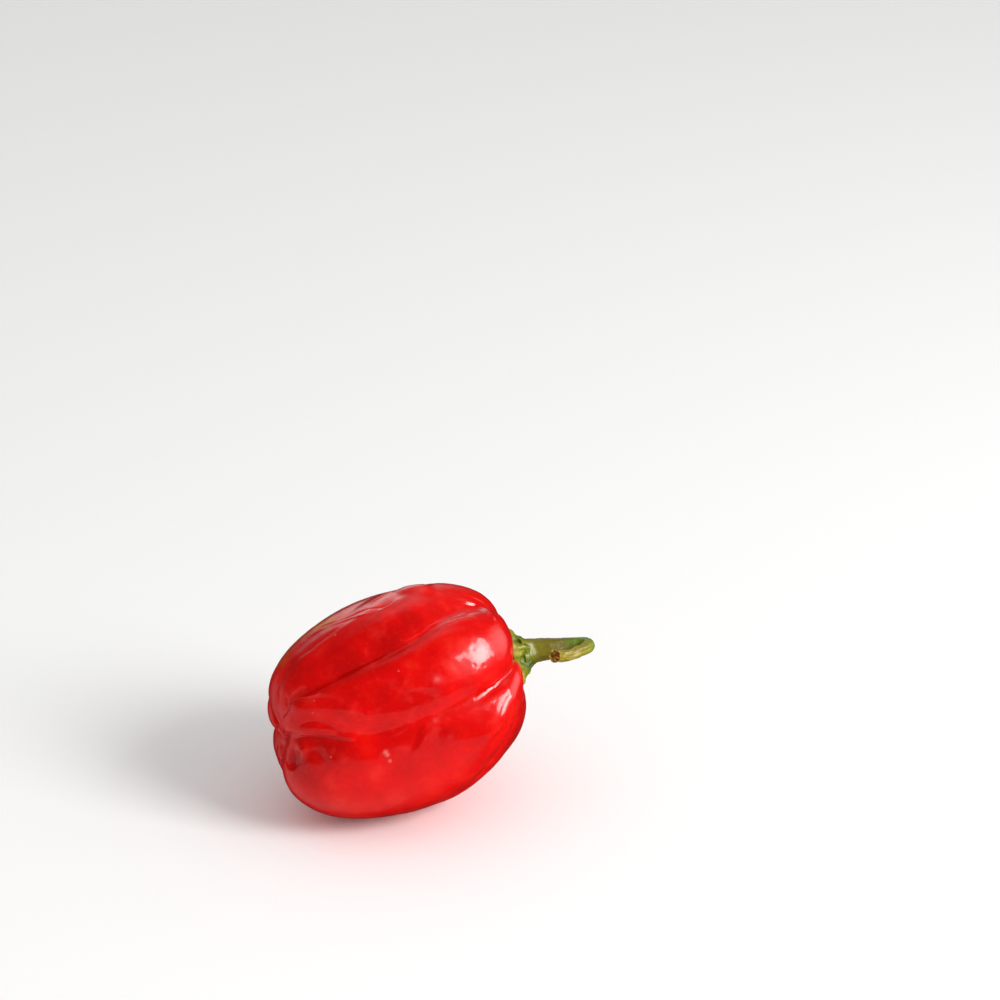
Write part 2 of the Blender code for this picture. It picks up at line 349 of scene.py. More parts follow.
# %% Carve the near side's folds, ripples and dents
NEAR_STROKES = [
    # The upper groove: shallow towards the stalk, with a fine crease and the middle lobe's lip below it.
    ([(372, 660), (388, 651), (404, 642), (422, 632), (440, 622), (456, 614)],
     -0.6, (4.6, 1.2), False, 0.35),
    ([(330, 681), (345, 673), (360, 666), (380, 656), (398, 646.5), (412, 639)], 0.2, 0.7, True, 0.3),
    ([(345, 676.5), (360, 669), (380, 659), (398, 649), (412, 641.5), (424, 635)],
     -0.16, (0.5, 1.4), False, 0.3),
    ([(402, 649), (430, 632), (447, 623), (462, 619), (476, 620), (487, 628)],
     -0.35, (2.0, 3.0), False, 0.3),
    # The top groove, almost flat along the pod's shoulder, and a fine crease beyond it.
    ([(284, 677), (300, 661), (320, 645), (335, 634), (351, 623), (366, 612), (381, 602), (395, 595),
      (409, 590), (424, 589), (438, 590)], -0.85, 4.5, False, 0.12),
    ([(306, 635), (321, 627.5), (339, 622), (351, 619), (362, 615), (385, 606), (397, 598)],
     0.2, 0.6, True, 0.2),
    ([(306, 638), (321, 630), (339, 624.5), (351, 621.5), (362, 617.5), (385, 608.5)],
     -0.12, 0.7, False, 0.2),
    # Its end at the stalk, with a sharp near lip.
    ([(442, 590), (457, 592.5), (472, 597.5), (485, 605), (495, 616)], 0.25, 0.9, True, 0.25),
    ([(456, 599), (467, 602), (476, 605), (484, 610), (491, 615), (497, 622)], -0.5, (1.0, 1.3), False, 0.2),
    # The V that the upper groove ends in, towards the blossom end.
    ([(288, 704.5), (296, 701), (303, 698.5), (311, 697)], 0.5, (1.6, 0.5), True, 0.25),
    ([(289, 703), (294, 696), (300, 691), (308, 687)], 0.35, 0.9, True, 0.3),
    ([(289, 706), (296, 702), (303, 699.5), (311, 698)], -0.18, 0.6, False, 0.3),
    ([(285, 696), (286.5, 701), (286, 707)], 0.3, 0.7, True, 0.3),
    # The middle lobe turns under along a soft edge.
    ([(288, 707), (300, 703), (315, 702), (330, 703), (348, 707), (364, 715)], -1.0, (2.6, 4.4), False, 0.2),
    ([(383, 698), (398, 688), (415, 683), (430, 684), (444, 692)], -0.5, (3.0, 2.6), False, 0.25),
    # Ripples down the blossom end.
    ([(279, 690), (277, 704), (276, 716)], -0.25, 1.0, False, 0.3),
    ([(284, 708), (283, 720), (283, 732)], -0.2, 1.0, False, 0.3),
    ([(276.5, 719), (277, 723), (276.5, 727)], 0.6, 0.9, False, 0.0),
    # The lower groove's left half: a second small roll of skin, with ripples along it.
    ([(292, 732), (303, 724), (314, 721.5), (325, 724), (334, 728), (346, 733)], 0.2, (0.9, 0.7), True, 0.25),
    ([(294, 735), (309, 733), (325, 733.5), (345, 737), (362, 739)], -0.7, (2.6, 0.9), False, 0.25),
    ([(300, 736.5), (312, 735), (326, 735.5), (345, 739.5)], 0.2, 0.6, True, 0.3),
    ([(303, 729), (315, 727.5), (328, 730)], -0.08, 0.5, False, 0.3),
    ([(358, 733), (372, 731), (386, 727), (400, 725)], -0.18, 0.7, False, 0.3),
    ([(385, 737), (400, 731), (412, 724)], -0.15, 0.7, False, 0.3),
    # The ridge that runs down from it, with a hollow at its right.
    ([(422, 717), (425, 727), (423, 739), (418, 751), (410, 763)], -0.45, (4.0, 1.8), False, 0.3),
    ([(438, 722), (436, 738), (430, 755)], 0.3, 3.2, False, 0.3),
    # The lower groove's right half, a sharp fold whose bottom catches the light in dashes.
    ([(430, 718), (441, 714), (452, 709.5), (469, 700.5), (483, 692), (495, 684), (504, 676.5), (511, 669)],
     0.4, (1.0, 3.0), True, 0.2),
    ([(473.5, 699)], -0.12, 0.6, False, 0.0),
    ([(486.5, 690)], -0.1, 0.5, False, 0.0),
    ([(495, 684.5)], -0.15, 0.7, False, 0.0),
    # The edge where the lower lobe turns down to the right.
    ([(519, 680), (514, 692), (510, 702), (503, 713), (496, 722), (486, 735), (474, 749)],
     -0.8, (3.0, 6.0), False, 0.3),
    ([(509, 704), (503, 714), (496, 724), (486, 737), (474, 750)], -0.45, (2.4, 4.0), False, 0.4),
    ([(509, 689), (503, 699), (498, 709), (494.5, 717)], 0.1, (0.8, 5.0), False, 0.25),
    ([(478, 744)], -0.8, 7.0, False, 0.0),
    # The uneven patch that the window lights on the middle lobe.
    ([(482, 622), (479, 650), (475, 678), (469, 706)], -0.13, 6.5, False, 0.25),
    ([(473, 649)], 0.05, 0.9, False, 0.0),
    ([(480, 651)], 0.05, 0.7, False, 0.0),
    ([(474, 665)], 0.05, 0.7, False, 0.0),
    ([(484, 666)], 0.05, 0.8, False, 0.0),
    # The dimple on the lower lobe, smaller than it was modelled, its rim, and the folds beside it.
    ([(307, 751), (311, 760)], -0.9, 4.2, False, 0.0),
    ([(295, 756), (293, 763)], 0.9, 2.6, False, 0.0),
    ([(286, 758), (286.4, 763.8), (289, 769.4), (292.6, 771), (298, 767.5), (302.6, 763)],
     -0.3, 0.7, False, 0.2),
    ([(293, 749.5), (298, 751), (304, 749), (310, 745)], -0.2, 0.7, False, 0.3),
    ([(287, 739), (287.5, 743), (287, 747)], 0.35, 0.6, True, 0.3),
    ([(284, 744), (282.5, 756), (283, 768)], -0.6, 2.2, False, 0.3),
    # A small scar, healed over.
    ([(385, 752), (387, 755)], -0.3, 1.0, False, 0.0),
    ([(389, 760), (391, 762)], -0.2, 0.7, False, 0.0),
    # Ripples near the top edge.
    ([(366, 608), (380, 601), (396, 594)], -0.15, 0.8, False, 0.3),
    ([(376, 612), (388, 606), (399, 598)], -0.15, 0.6, False, 0.3),
]
carve(pod, NEAR_STROKES, by_pixel)

# %% [markdown]
# ## The hidden sides
#
# No photograph shows them, so they get what such a pod has all round: shallow dimples, and short wrinkles
# where the lobes draw in towards the two ends. The draw is seeded, so it is the same each time.

# %% Wrinkle the hidden sides
WRINKLE_SEED = 11
END_STATIONS = (0, 1, 3, 4)
WRINKLES_EACH = 2
WANDER_DEGREES = 14
DIMPLES = 10
draw = random.Random(WRINKLE_SEED)
hidden = []
for angles in HIDDEN_GROOVES.values():
    for station in END_STATIONS:
        for _ in range(WRINKLES_EACH):
            start = angles[station] + draw.uniform(-WANDER_DEGREES, WANDER_DEGREES)
            along, out = STATIONS_MM[station]
            length = draw.uniform(4, 8) * (1 if along < 0 else -1)
            points = [(along + length * f, out + 3 * f, start + draw.uniform(-3, 3)) for f in (0, 0.5, 1)]
            hidden.append((points, draw.uniform(0.1, 0.3), draw.uniform(0.6, 1.4), False, 0.4))
for _ in range(DIMPLES):
    place = (draw.uniform(-20, 20), 22.0, draw.uniform(150, 330))
    hidden.append(([place], draw.uniform(0.1, 0.35), draw.uniform(2, 5), False, 0.0))
carve(pod, hidden, by_angle)

# %% [markdown]
# ## A living surface
#
# No fruit is as even as a formula. Two Displace modifiers with cloud textures add a slow swell, a centimetre
# or so across, and a fine one of a few millimetres. They are what breaks a reflection into a natural edge.

# %% Swell the skin unevenly
def swell(piece, name, size_mm, height_mm):
    """Adds a Displace modifier that raises and sinks the skin by half this height, in clouds this size."""
    clouds = bpy.data.textures.new(name, "CLOUDS")
    clouds.noise_scale = size_mm * MM
    clouds.noise_depth = 1
    waver = piece.modifiers.new(name, "DISPLACE")
    waver.texture = clouds
    waver.texture_coords = "LOCAL"
    waver.strength = height_mm * MM
    waver.mid_level = 0.5


swell(pod, "slow swell", 13.0, 0.45)
swell(pod, "fine swell", 2.6, 0.09)
finish_modifiers(pod)

# %% [markdown]
# ## Flat where it rests
#
# The pod is soft enough to flatten a little under its own weight, and it can't sink into the table. Points
# that the swell pushed below the table's height are lifted back to it.

# %% Keep the pod on the table
places, normals = arrays_of(pod)
print(f"pod_skin: {(places[:, 2] < 0).sum()} points lifted to the table")
places[:, 2] = np.maximum(places[:, 2], 0.0)
move_points(pod, places)

# %% [markdown]
# ## Colours and nodes
#
# Colours are written as the hex values that a picture shows, and turned to the linear values that light
# adds up in. One function adds a node with its settings and links. What is the same all over a surface, such
# as its roughness, is set on the shader itself.

# %% Turn hex colours to linear and add nodes
def linear(hex_colour):
    """A colour's linear red, green, blue and alpha."""
    channels = [int(hex_colour[i:i + 2], 16) / 255 for i in (1, 3, 5)]
    return tuple(c / 12.92 if c <= 0.04045 else ((c + 0.055) / 1.055) ** 2.4 for c in channels) + (1.0,)


def add(material, kind, inputs=None, stops=None, **settings):
    """Adds a node. Each input is a value, or another node's socket to link. stops are a ramp's colours."""
    made = material.node_tree.nodes.new(kind)
    for key, value in settings.items():
        setattr(made, key, value)
    for socket, value in (inputs or {}).items():
        if isinstance(value, bpy.types.NodeSocket):
            material.node_tree.links.new(value, made.inputs[socket])
        else:
            made.inputs[socket].default_value = value
    if stops:
        elements = made.color_ramp.elements
        while len(elements) < len(stops):
            elements.new(1.0)
        for element, (place, colour) in zip(elements, stops):
            element.position = place
            element.color = linear(colour) if isinstance(colour, str) else (colour, colour, colour, 1.0)
    return made


def new_material(name):
    """A material and its shader."""
    material = bpy.data.materials.new(name)
    material.use_nodes = True
    return material, material.node_tree.nodes["Principled BSDF"]


def set_even(shader, values):
    """Sets what is the same all over a surface."""
    for socket, value in values.items():
        shader.inputs[socket].default_value = value


def per_mm(size_mm):
    """The scale of a texture whose features are this size."""
    return 1 / (size_mm * MM)


# %% [markdown]
# ## Places on the skin that have a colour of their own
#
# One shoulder grew in the shade and is still orange going to yellow. The red is darker beside the grooves, in
# the dimple, on the top lobe and on the right flank: partly a deeper pigment, partly painted shade where the
# skin sinks into a groove or turns away from the light. A few pale specks and a healed scar are corky. Each
# such place is a soft round mark, written on the mesh's points as an attribute, so that it stays on the skin
# from whatever side it is seen.

# %% Write marks on the points
def mark(piece, name, values):
    """Writes a value, or a vector, on every point, under a name that a material can read."""
    kind, field = ("FLOAT", "value") if values.ndim == 1 else ("FLOAT_VECTOR", "vector")
    attribute = piece.data.attributes.new(name, kind, "POINT")
    attribute.data.foreach_set(field, values.astype(np.float32).ravel())
    print(f"{piece.name}: attribute {name}, from {values.min():.2f} to {values.max():.2f}")


# Each mark is a place, a reach in mm and a strength.
UNRIPE_BEHIND = (
    ((-13, 23, 318), 15.0, 0.95), ((-20, 16, 330), 9.0, 0.8), ((-2, 24.5, 312), 12.0, 0.75),
    ((-8, 24, 296), 9.0, 0.6), ((9, 24, 308), 8.0, 0.5), ((-4, 24, 330), 8.0, 0.65),
)
UNRIPE_IN_VIEW = (
    ((296, 643), 4.5, 0.6), ((305, 635.5), 5.5, 0.7), ((316, 627.5), 6.0, 0.75), ((328, 620.5), 6.0, 0.7),
    ((342, 613.5), 5.0, 0.5),
)
# Painted shade as well as a deeper red: these marks darken the grooves, the dimple, the top lobe and the right
# flank.
DEEP_RED_AND_PAINTED_SHADE = (
    ((345, 662), 7.0, 0.8), ((383, 638), 8.0, 0.9), ((408, 621), 6.0, 0.8), ((335, 745), 8.0, 0.9),
    ((300, 765), 6.0, 0.8), ((294.5, 759), 2.4, 1.0), ((410, 702), 8.0, 0.9), ((438, 740), 8.0, 0.9),
    ((470, 690), 6.0, 0.5), ((523, 700), 8.0, 1.0), ((516, 735), 8.0, 1.0), ((430, 603), 6.0, 0.5),
    ((350, 713), 7.0, 0.8), ((384, 708), 7.0, 0.7), ((432, 692), 6.0, 0.8),
)
PALE = (
    ((385.5, 752.5), 0.9, 0.6), ((387.5, 755), 0.7, 0.6), ((390, 761), 0.6, 0.6), ((335, 635), 0.4, 0.6),
    ((314, 701), 0.25, 0.6), ((313, 713), 0.28, 0.6), ((398, 671), 0.2, 0.6), ((402, 640), 0.2, 0.6),
    ((331, 757), 0.22, 0.6),
)
tree = tree_of(pod)
places, normals = arrays_of(pod)
for name, groups in (
    ("unripe", ((by_angle, UNRIPE_BEHIND), (by_pixel, UNRIPE_IN_VIEW))),
    ("deep_red_and_painted_shade", ((by_pixel, DEEP_RED_AND_PAINTED_SHADE),)),
    ("pale", ((by_pixel, PALE),)),
):
    share = np.zeros(len(places))
    for find, marks in groups:
        for place, reach_mm, strength in marks:
            away = np.linalg.norm(places - np.array(find(tree, *place)), axis=1) / MM
            share = np.maximum(share, strength * fade(1 - away / reach_mm))
    mark(pod, name, share)

# %% [markdown]
# ## Ripe pepper skin
#
# The skin is a clear waxy cuticle over flesh full of red pigment. One shader can hold both: a fairly rough
# base for the flesh, under a smooth coat for the wax. The wax gives a sharp reflection with a soft halo, and
# the flesh lets a little light through, so the shadows stay red and warm. The red drifts between crimson and
# orange-red in patches of about a centimetre, with specks of under a millimetre and a faint bloom of wax.

# %% Mix the red
BLOTCH_MM = 9
FLECK_MM = 0.9
BLOOM_MM = 4.5
DEEPENING_AND_PAINTED_SHADE = -0.45
skin, shader = new_material("waxy_pepper_skin")
where = add(skin, "ShaderNodeTexCoord").outputs["Object"]
blotch = add(skin, "ShaderNodeTexNoise",
             {"Vector": where, "Scale": per_mm(BLOTCH_MM), "Detail": 3.0, "Roughness": 0.6})
# This mark darkens the red, partly as a deeper pigment and partly as painted shade.
deep = add(skin, "ShaderNodeAttribute", attribute_name="deep_red_and_painted_shade")
redness = add(skin, "ShaderNodeMath", {0: deep.outputs["Fac"], 1: DEEPENING_AND_PAINTED_SHADE, 2: blotch.outputs["Fac"]},
              operation="MULTIPLY_ADD")
red = add(skin, "ShaderNodeValToRGB", {"Fac": redness.outputs["Value"]},
          stops=[(0.0, "#B00000"), (0.3, "#C40000"), (0.5, "#D60000"), (0.72, "#E21003")])
fleck = add(skin, "ShaderNodeTexNoise", {"Vector": where, "Scale": per_mm(FLECK_MM), "Detail": 2.0})
fleck_share = add(skin, "ShaderNodeValToRGB", {"Fac": fleck.outputs["Fac"]}, stops=[(0.55, 0.0), (0.8, 0.2)])
flecked = add(skin, "ShaderNodeMix", {0: fleck_share.outputs["Color"], 6: red.outputs["Color"],
                                      7: linear("#F43008")}, data_type="RGBA")
bloom = add(skin, "ShaderNodeTexNoise", {"Vector": where, "Scale": per_mm(BLOOM_MM), "Detail": 3.0})
bloom_share = add(skin, "ShaderNodeValToRGB", {"Fac": bloom.outputs["Fac"]},
                  stops=[(0.55, 0.0), (0.74, 0.08)])
bloomed = add(skin, "ShaderNodeMix", {0: bloom_share.outputs["Color"], 6: flecked.outputs[2],
                                      7: linear("#E8665A")}, data_type="RGBA")

# %% [markdown]
# ## The colour of ripening, and scars
#
# A pepper ripens in patches, so the unripe mark alone would look airbrushed. Noise is added to it, which
# frays its edge, and a colour ramp then leads from orange-red at the edge to dull yellow at the heart.

# %% Mix in the unripe shoulder and the scars
RIPENING_MM = 5
FRAY = 1.0
FRAY_MIDDLE = -0.55
unripe = add(skin, "ShaderNodeAttribute", attribute_name="unripe")
wander = add(skin, "ShaderNodeTexNoise", {"Vector": where, "Scale": per_mm(RIPENING_MM), "Detail": 4.0})
frayed = add(skin, "ShaderNodeMath", {0: wander.outputs["Fac"], 1: FRAY, 2: FRAY_MIDDLE},
             operation="MULTIPLY_ADD")
ripened = add(skin, "ShaderNodeMath", {0: unripe.outputs["Fac"], 1: frayed.outputs["Value"]},
              operation="ADD")
unripe_tint = add(skin, "ShaderNodeValToRGB", {"Fac": ripened.outputs["Value"]},
                  stops=[(0.2, "#D81802"), (0.5, "#D24600"), (0.75, "#CC6400"), (1.0, "#BE7A02")])
unripe_share = add(skin, "ShaderNodeValToRGB", {"Fac": ripened.outputs["Value"]},
                   stops=[(0.08, 0.0), (0.42, 1.0)])
colour = add(skin, "ShaderNodeMix", {0: unripe_share.outputs["Color"], 6: bloomed.outputs[2],
                                     7: unripe_tint.outputs["Color"]}, data_type="RGBA")
pale = add(skin, "ShaderNodeAttribute", attribute_name="pale")
scarred = add(skin, "ShaderNodeMix", {0: pale.outputs["Fac"], 6: colour.outputs[2], 7: linear("#E88C80")},
              data_type="RGBA")
skin.node_tree.links.new(scarred.outputs[2], shader.inputs["Base Color"])

# %% [markdown]
# ## The wax
#
# A bump of a tenth of a millimetre is the fine orange-peel of the skin. Plant wax and water both bend light
# by about 1.4 to 1.45, which is the IOR here. Red light travels about a millimetre in the flesh, green and
# blue hardly any.

# %% Give the skin its relief and its gloss
PIMPLE_MM = 1.6
PIMPLE_HEIGHT_MM = 0.1
pimple = add(skin, "ShaderNodeTexNoise", {"Vector": where, "Scale": per_mm(PIMPLE_MM), "Detail": 2.0})
bump = add(skin, "ShaderNodeBump",
           {"Height": pimple.outputs["Fac"], "Strength": 0.6, "Distance": PIMPLE_HEIGHT_MM * MM})
skin.node_tree.links.new(bump.outputs["Normal"], shader.inputs["Normal"])
set_even(shader, {
    "Roughness": 0.3,
    "IOR": 1.45,
    "Specular IOR Level": 0.1,
    "Subsurface Weight": 0.12,
    "Subsurface Radius": (1.0, 0.15, 0.08),
    "Subsurface Scale": 2.0 * MM,
    "Coat Weight": 0.5,
    "Coat Roughness": 0.085,
    "Coat IOR": 1.45,
})
pod.data.materials.append(skin)
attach(pod, "root")
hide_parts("pod")

# %% [markdown]
# ## The calyx
#
# The calyx is the flower's old green cup, five teeth grown flat over the pod's shoulder. A vein runs down
# each tooth from the stem and stands out, with hollows between, and a groove runs round the cap where the
# stem begins. The fine copy keeps the modelled cap, and strokes raise the veins and cut the groove.

# %% Carve the calyx
calyx = fine_copy("calyx", "calyx_cap")
CALYX_AXIS_Z_MM = 1.8
RAY_START_MM = 60
CAP_PLACE_MM = 30
TEETH = 5
FIRST_TOOTH = -30
HALF_TOOTH = 36


def on_cap(tree, out_mm, angle):
    """The point of the cap that is so far out from the stem's axis, at an angle round it."""
    turn = math.radians(angle)
    sideways_mm = -math.sin(turn) * out_mm
    upward_mm = math.cos(turn) * out_mm + CALYX_AXIS_Z_MM
    offset = Vector((RAY_START_MM, sideways_mm, upward_mm)) * MM
    hit = tree.ray_cast(POD_AXES @ offset, POD_AXES.to_3x3() @ Vector((-1, 0, 0)))[0]
    return hit or tree.find_nearest(POD_AXES @ (offset - Vector((CAP_PLACE_MM * MM, 0, 0))))[0]


veins = []
for tooth in [FIRST_TOOTH + 2 * HALF_TOOTH * i for i in range(TEETH)]:
    between = tooth + HALF_TOOTH
    veins.append(([(2.6, tooth), (4.5, tooth + 2), (6.6, tooth)], -0.35, 0.9, False, 0.25))
    veins.append(([(3.0, between), (4.6, between - 2), (5.6, between)], 0.25, 1.0, False, 0.3))
    for side in (-17, 18):
        branch = [(3.2, tooth + side), (4.6, tooth + side * 0.9), (5.8, tooth + side * 0.8)]
        veins.append((branch, -0.14, 0.5, False, 0.3))
GROOVE_RING = [(4.7, 15 * i) for i in range(25)]
veins.append((GROOVE_RING, 0.5, 1.5, False, 0.0))
carve(calyx, veins, on_cap)

# %% [markdown]
# ## The calyx's wrinkles
#
# As a calyx ages it wrinkles from the stem outwards. Noise that reads the way round the stem, and changes
# only slowly outwards, raises such wrinkles. A fine swell then breaks them up.

# %% Wrinkle the calyx
WRINKLES_ROUND = 6.0
WRINKLE_MM = 0.16
WRINKLE_LENGTH_MM = 4
cap_low, cap_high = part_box("calyx")
CAP_MIDDLE = (cap_low + cap_high) / 2
places, normals = arrays_of(calyx)
for i, place in enumerate(places):
    way = Vector((0, *(place[1:] - CAP_MIDDLE[1:])))
    outward = Vector((way.length / (WRINKLE_LENGTH_MM * MM), 0, 0))
    height = noise.noise(way.normalized() * WRINKLES_ROUND + outward)
    places[i] += normals[i] * height * WRINKLE_MM * MM
move_points(calyx, places)
swell(calyx, "cap swell", 2.2, 0.25)
swell(calyx, "cap wrinkle", 0.8, 0.08)
finish_modifiers(calyx)

# %% [markdown]
# ## Green calyx flesh
#
# A fresh calyx is a fleshy leaf: satin, dark green where it is thick by the stem and yellow-green at its
# thin rim, with pale streaks from the stem outwards. Distance from the stem gives the one, and noise that
# reads only the way round it gives the other. All the greens are kept darker than the leaf's own colour, as
# painted shade for the pod's shadow that the cap lies in.

# %% Mix the calyx flesh
CAP_RADIUS_MM = 8
STREAKS_ROUND = 8.0
CLOUD_MM = 1.6
GRAIN_MM = 0.5
GRAIN_HEIGHT_MM = 0.12
cap, shader = new_material("fresh_calyx_flesh")
where = add(cap, "ShaderNodeTexCoord").outputs["Object"]
centred = add(cap, "ShaderNodeMapping", {"Vector": where, "Location": tuple(-CAP_MIDDLE)})
parts = add(cap, "ShaderNodeSeparateXYZ", {"Vector": centred.outputs["Vector"]})
flat = add(cap, "ShaderNodeCombineXYZ", {"Y": parts.outputs["Y"], "Z": parts.outputs["Z"]})
radius = add(cap, "ShaderNodeVectorMath", {0: flat.outputs["Vector"]}, operation="LENGTH")
share_out = add(cap, "ShaderNodeMath", {0: radius.outputs["Value"], 1: 1 / (CAP_RADIUS_MM * MM)},
                operation="MULTIPLY")
around = add(cap, "ShaderNodeVectorMath", {0: flat.outputs["Vector"]}, operation="NORMALIZE")
streak = add(cap, "ShaderNodeTexNoise",
             {"Vector": around.outputs["Vector"], "Scale": STREAKS_ROUND, "Detail": 5.0})
cloud = add(cap, "ShaderNodeTexNoise", {"Vector": where, "Scale": per_mm(CLOUD_MM), "Detail": 4.0})
mixed = add(cap, "ShaderNodeMath", {0: streak.outputs["Fac"], 1: cloud.outputs["Fac"]}, operation="ADD")
shifted = add(cap, "ShaderNodeMath", {0: mixed.outputs["Value"], 1: 0.7, 2: share_out.outputs["Value"]},
              operation="MULTIPLY_ADD")
spread = add(cap, "ShaderNodeMapRange",
             {"Value": shifted.outputs["Value"], "From Min": 0.75, "From Max": 1.75})
# Painted shade: these greens are darkened for the pod's shadow that the cap lies in.
green = add(cap, "ShaderNodeValToRGB", {"Fac": spread.outputs["Result"]},
            stops=[(0.1, "#304A00"), (0.4, "#566C00"), (0.62, "#6A7404"), (0.8, "#86840C"),
                   (0.95, "#A49A3A")])
grain = add(cap, "ShaderNodeTexNoise", {"Vector": where, "Scale": per_mm(GRAIN_MM), "Detail": 3.0})
rough = add(cap, "ShaderNodeMath", {0: grain.outputs["Fac"], 1: streak.outputs["Fac"]}, operation="ADD")
bump = add(cap, "ShaderNodeBump",
           {"Height": rough.outputs["Value"], "Strength": 0.8, "Distance": GRAIN_HEIGHT_MM * MM})
cap.node_tree.links.new(green.outputs["Color"], shader.inputs["Base Color"])
cap.node_tree.links.new(bump.outputs["Normal"], shader.inputs["Normal"])
set_even(shader, {
    "Roughness": 0.45,
    "IOR": 1.42,
    "Specular IOR Level": 0.3,
    "Subsurface Weight": 0.1,
    "Subsurface Radius": (0.5, 0.7, 0.15),
    "Subsurface Scale": 0.8 * MM,
})
calyx.data.materials.append(cap)
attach(calyx, "root")
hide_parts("calyx")

# %% [markdown]
# ## The stem
#
# The stem is thick and five-ribbed where it leaves the calyx, thins as it hooks round, and ends where it was
# broken off. A curve with a ribbed outline as its bevel carries the ribs along the whole hook, and turned
# into a mesh it can be carved and cut like the rest.

# %% Bend the stem
STEM_BASE = POD_AXES @ (Vector((31.7, 0.0, 1.8)) * MM)
STEM_PATH_MM = [
    (-2.5, 0.1, -0.1),
    (-1.2, 0.1, -0.1),
    (0.0, 0.0, 0.0),
    (1.9, -0.3, 0.3),
    (4.6, -1.2, 0.6),
    (8.9, -2.1, 1.0),
    (11.7, -3.0, 1.3),
    (12.9, -4.6, 1.6),
    (11.7, -6.5, 1.8),
    (9.2, -8.0, 2.0),
    (6.3, -9.2, 2.1),
    (4.0, -9.7, 2.5),
    (1.9, -11.0, 3.4),
]
STEM_RADII_MM = [4.1, 3.8, 3.3, 2.75, 2.5, 1.85, 1.5, 1.45, 1.4, 1.35, 1.3, 1.35, 1.5]
RIBS = 5
RIB_POINTS = 40
RIB_HEIGHT = 0.06
OVALNESS = 0.03
ROUTE_STEPS = 6

outline = bpy.data.curves.new("stem outline", "CURVE")
outline.dimensions = "2D"
spline = outline.splines.new("POLY")
spline.points.add(RIB_POINTS - 1)
for i, point in enumerate(spline.points):
    turn = 2 * math.pi * i / RIB_POINTS
    radius_here = 1 + RIB_HEIGHT * math.cos(RIBS * turn) + OVALNESS * math.cos(2 * turn)
    point.co = (radius_here * math.cos(turn), radius_here * math.sin(turn), 0, 1)
spline.use_cyclic_u = True
outline_object = bpy.data.objects.new("stem outline", outline)
bpy.context.scene.collection.objects.link(outline_object)

route = bpy.data.curves.new("stem_hook", "CURVE")
route.dimensions = "3D"
route.bevel_mode = "OBJECT"
route.bevel_object = outline_object
route.resolution_u = ROUTE_STEPS
spline = route.splines.new("BEZIER")
spline.bezier_points.add(len(STEM_PATH_MM) - 1)
for point, place, radius_mm in zip(spline.bezier_points, STEM_PATH_MM, STEM_RADII_MM):
    point.co = STEM_BASE + Vector(place) * MM
    point.handle_left_type = point.handle_right_type = "AUTO"
    point.radius = radius_mm * MM
stem = bpy.data.objects.new("stem_hook", route)
bpy.context.scene.collection.objects.link(stem)
only(stem)
bpy.ops.object.convert(target="MESH")
stem = bpy.context.object
stem.name = "stem_hook"
bpy.data.objects.remove(outline_object)

# %% [markdown]
# ## Closing the stem
#
# A bevelled curve comes out as an open tube with doubled points. Its two open rims are the only edges that
# border a single face, so they can be selected as such and each filled with one face.

# %% Close the stem's ends
bpy.ops.object.mode_set(mode="EDIT")
bpy.ops.mesh.select_all(action="SELECT")
bpy.ops.mesh.remove_doubles(threshold=MERGE)
bpy.ops.mesh.select_all(action="DESELECT")
bpy.ops.mesh.select_non_manifold()
bpy.ops.mesh.edge_face_add()
bpy.ops.mesh.select_all(action="SELECT")
bpy.ops.mesh.normals_make_consistent(inside=False)
bpy.ops.object.mode_set(mode="OBJECT")
end_faces = [face for face in stem.data.polygons if len(face.vertices) > 4]
print(f"stem_hook: {len(stem.data.polygons)} faces, {len(end_faces)} of them close an end")

# %% [markdown]
# ## The dry cut
#
# Where the stalk broke off, its skin stands as a rim round a sunken ring, with a core in the middle. Four
# insets of the end face make them. Only the face that looks along the stem at its end is selected.

# %% Break the stem's end
CUT_FACING = 0.8
CUT_REACH_MM = 0.8
# How far each inset goes in, and how far it moves along the stem, a negative one sinking.
CUT_INSETS_MM = ((0.2, 0.0), (0.12, -0.35), (0.35, 0.0), (0.2, 0.12))
cut_place = STEM_BASE + Vector(STEM_PATH_MM[-1]) * MM
cut_way = (Vector(STEM_PATH_MM[-1]) - Vector(STEM_PATH_MM[-2])).normalized()
bpy.ops.object.mode_set(mode="EDIT")
bpy.ops.mesh.select_mode(type="FACE")
bpy.ops.mesh.select_all(action="DESELECT")
bpy.ops.object.mode_set(mode="OBJECT")
for face in stem.data.polygons:
    near_cut = (face.center - cut_place).length < CUT_REACH_MM * MM
    face.select = face.normal.dot(cut_way) > CUT_FACING and near_cut
print("cut faces:", sum(f.select for f in stem.data.polygons))
bpy.ops.object.mode_set(mode="EDIT")
for inward_mm, deeper_mm in CUT_INSETS_MM:
    bpy.ops.mesh.inset(thickness=inward_mm * MM, depth=deeper_mm * MM)
bpy.ops.object.mode_set(mode="OBJECT")
melt(stem)
swell(stem, "stem swell", 2.5, 0.25)
swell(stem, "stem wrinkle", 0.9, 0.1)
finish_modifiers(stem)

# %% [markdown]
# ## Fibres
#
# A stalk is a bundle of fibres, and it dries into long wrinkles that follow them. Each point is given its
# place in the bundle: how far along the route it lies, and at what angle round it. Noise that reads this
# place is drawn out along the stem, however the stem bends. The wrinkles are deepest near the dry end.

